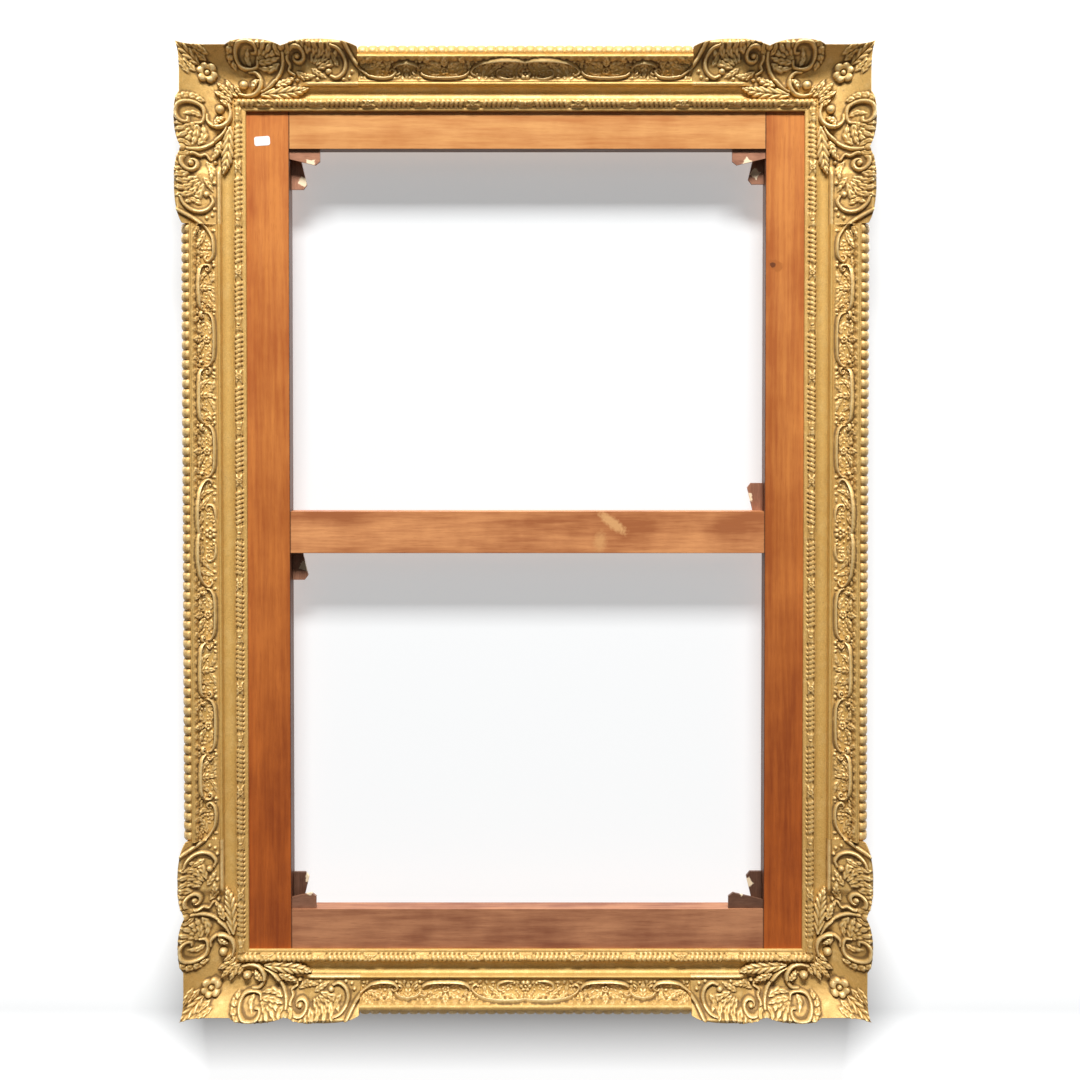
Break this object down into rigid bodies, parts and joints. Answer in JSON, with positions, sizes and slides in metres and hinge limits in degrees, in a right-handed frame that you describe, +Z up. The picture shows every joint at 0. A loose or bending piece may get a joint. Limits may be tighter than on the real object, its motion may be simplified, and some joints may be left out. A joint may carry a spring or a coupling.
{
  "type": "gilded picture frame",
  "caption": "Upright gilded picture frame with scrolled corner ornaments and a gadrooned edge, holding a keyed pine stretcher in its rebate for a canvas.",
  "frame": {"origin": "middle of the opening, on the plane of the frame's back, which hangs against the wall", "axes": "+Z up, +X to the right seen from the front, the ornamented front faces -Y"},
  "size_m": [1.0422, 0.0742, 1.4702],
  "materials": {
    "gilded_rail": "worn gilding on pine",
    "gilded_ornament": "worn gilding on cast composition",
    "stained_pine": "stained and waxed",
    "key_wood": "stained, bare ends",
    "feather_wood": "bare",
    "brass_hardware": "dull",
    "screw_steel": "dull"
  },
  "bodies": {
    "frame": {"band_bottom": "gilded_ornament", "band_left": "gilded_ornament", "band_right": "gilded_ornament", "band_top": "gilded_ornament", "corner_bottom_left": "gilded_ornament", "corner_bottom_right": "gilded_ornament", "corner_top_left": "gilded_ornament", "corner_top_right": "gilded_ornament", "gadroon_bottom": "gilded_ornament", "gadroon_left": "gilded_ornament", "gadroon_right": "gilded_ornament", "gadroon_top": "gilded_ornament", "hanger_screws": "screw_steel", "hanger_strap_left": "brass_hardware", "hanger_strap_right": "brass_hardware", "mitre_feather_bottom_left": "feather_wood", "mitre_feather_bottom_right": "feather_wood", "mitre_feather_top_left": "feather_wood", "mitre_feather_top_right": "feather_wood", "rail_bottom": "gilded_rail", "rail_left": "gilded_rail", "rail_right": "gilded_rail", "rail_top": "gilded_rail", "sight_edge_bottom": "gilded_ornament", "sight_edge_left": "gilded_ornament", "sight_edge_right": "gilded_ornament", "sight_edge_top": "gilded_ornament", "stretcher_cross_bar": "stained_pine", "stretcher_rail_bottom": "stained_pine", "stretcher_rail_top": "stained_pine", "stretcher_stile_left": "stained_pine", "stretcher_stile_right": "stained_pine", "turn_button_screws": "screw_steel"},
    "hanger_ring_left": {"hanger_ring_left": "brass_hardware"},
    "hanger_ring_right": {"hanger_ring_right": "brass_hardware"},
    "key_bar_left": {"key_bar_left": "key_wood"},
    "key_bar_right": {"key_bar_right": "key_wood"},
    "key_bottom_left_rail": {"key_bottom_left_rail": "key_wood"},
    "key_bottom_left_stile": {"key_bottom_left_stile": "key_wood"},
    "key_bottom_right_rail": {"key_bottom_right_rail": "key_wood"},
    "key_bottom_right_stile": {"key_bottom_right_stile": "key_wood"},
    "key_top_left_rail": {"key_top_left_rail": "key_wood"},
    "key_top_left_stile": {"key_top_left_stile": "key_wood"},
    "key_top_right_rail": {"key_top_right_rail": "key_wood"},
    "key_top_right_stile": {"key_top_right_stile": "key_wood"},
    "turn_button_left_1": {"turn_button_left_1": "brass_hardware"},
    "turn_button_left_2": {"turn_button_left_2": "brass_hardware"},
    "turn_button_left_3": {"turn_button_left_3": "brass_hardware"},
    "turn_button_right_1": {"turn_button_right_1": "brass_hardware"},
    "turn_button_right_2": {"turn_button_right_2": "brass_hardware"},
    "turn_button_right_3": {"turn_button_right_3": "brass_hardware"}
  },
  "joints": [
    {"name": "key_top_right_rail_slide", "type": "slide", "parent": "frame", "child": "key_top_right_rail", "axis": [-1, 0, 0], "range_m": [0, 0.022]},
    {"name": "key_top_right_stile_slide", "type": "slide", "parent": "frame", "child": "key_top_right_stile", "axis": [0, 0, -1], "range_m": [0, 0.022]},
    {"name": "key_top_left_rail_slide", "type": "slide", "parent": "frame", "child": "key_top_left_rail", "axis": [1, 0, 0], "range_m": [0, 0.026]},
    {"name": "key_top_left_stile_slide", "type": "slide", "parent": "frame", "child": "key_top_left_stile", "axis": [0, 0, -1], "range_m": [0, 0.014]},
    {"name": "key_bottom_right_rail_slide", "type": "slide", "parent": "frame", "child": "key_bottom_right_rail", "axis": [-1, 0, 0], "range_m": [0, 0.019]},
    {"name": "key_bottom_right_stile_slide", "type": "slide", "parent": "frame", "child": "key_bottom_right_stile", "axis": [0, 0, 1], "range_m": [0, 0.021]},
    {"name": "key_bottom_left_rail_slide", "type": "slide", "parent": "frame", "child": "key_bottom_left_rail", "axis": [1, 0, 0], "range_m": [0, 0.035]},
    {"name": "key_bottom_left_stile_slide", "type": "slide", "parent": "frame", "child": "key_bottom_left_stile", "axis": [0, 0, 1], "range_m": [0, 0.022]},
    {"name": "key_bar_left_slide", "type": "slide", "parent": "frame", "child": "key_bar_left", "axis": [0, 0, -1], "range_m": [0, 0.029]},
    {"name": "key_bar_right_slide", "type": "slide", "parent": "frame", "child": "key_bar_right", "axis": [0, 0, 1], "range_m": [0, 0.03]},
    {"name": "turn_button_left_1_turn", "type": "hinge", "parent": "frame", "child": "turn_button_left_1", "pos_m": [-0.443, 0.0011, -0.4], "axis": [0, 1, 0], "range_deg": [-90, 90]},
    {"name": "turn_button_left_2_turn", "type": "hinge", "parent": "frame", "child": "turn_button_left_2", "pos_m": [-0.443, 0.0011, 0], "axis": [0, 1, 0], "range_deg": [-90, 90]},
    {"name": "turn_button_left_3_turn", "type": "hinge", "parent": "frame", "child": "turn_button_left_3", "pos_m": [-0.443, 0.0011, 0.4], "axis": [0, 1, 0], "range_deg": [-90, 90]},
    {"name": "hanger_ring_left_swing", "type": "hinge", "parent": "frame", "child": "hanger_ring_left", "pos_m": [-0.451, 0.0036, 0.33], "axis": [0, 0, 1], "range_deg": [0, 150]},
    {"name": "turn_button_right_1_turn", "type": "hinge", "parent": "frame", "child": "turn_button_right_1", "pos_m": [0.443, 0.0011, -0.4], "axis": [0, 1, 0], "range_deg": [-90, 90]},
    {"name": "turn_button_right_2_turn", "type": "hinge", "parent": "frame", "child": "turn_button_right_2", "pos_m": [0.443, 0.0011, 0], "axis": [0, 1, 0], "range_deg": [-90, 90]},
    {"name": "turn_button_right_3_turn", "type": "hinge", "parent": "frame", "child": "turn_button_right_3", "pos_m": [0.443, 0.0011, 0.4], "axis": [0, 1, 0], "range_deg": [-90, 90]},
    {"name": "hanger_ring_right_swing", "type": "hinge", "parent": "frame", "child": "hanger_ring_right", "pos_m": [0.451, 0.0036, 0.33], "axis": [0, 0, 1], "range_deg": [-150, 0]}
  ]
}
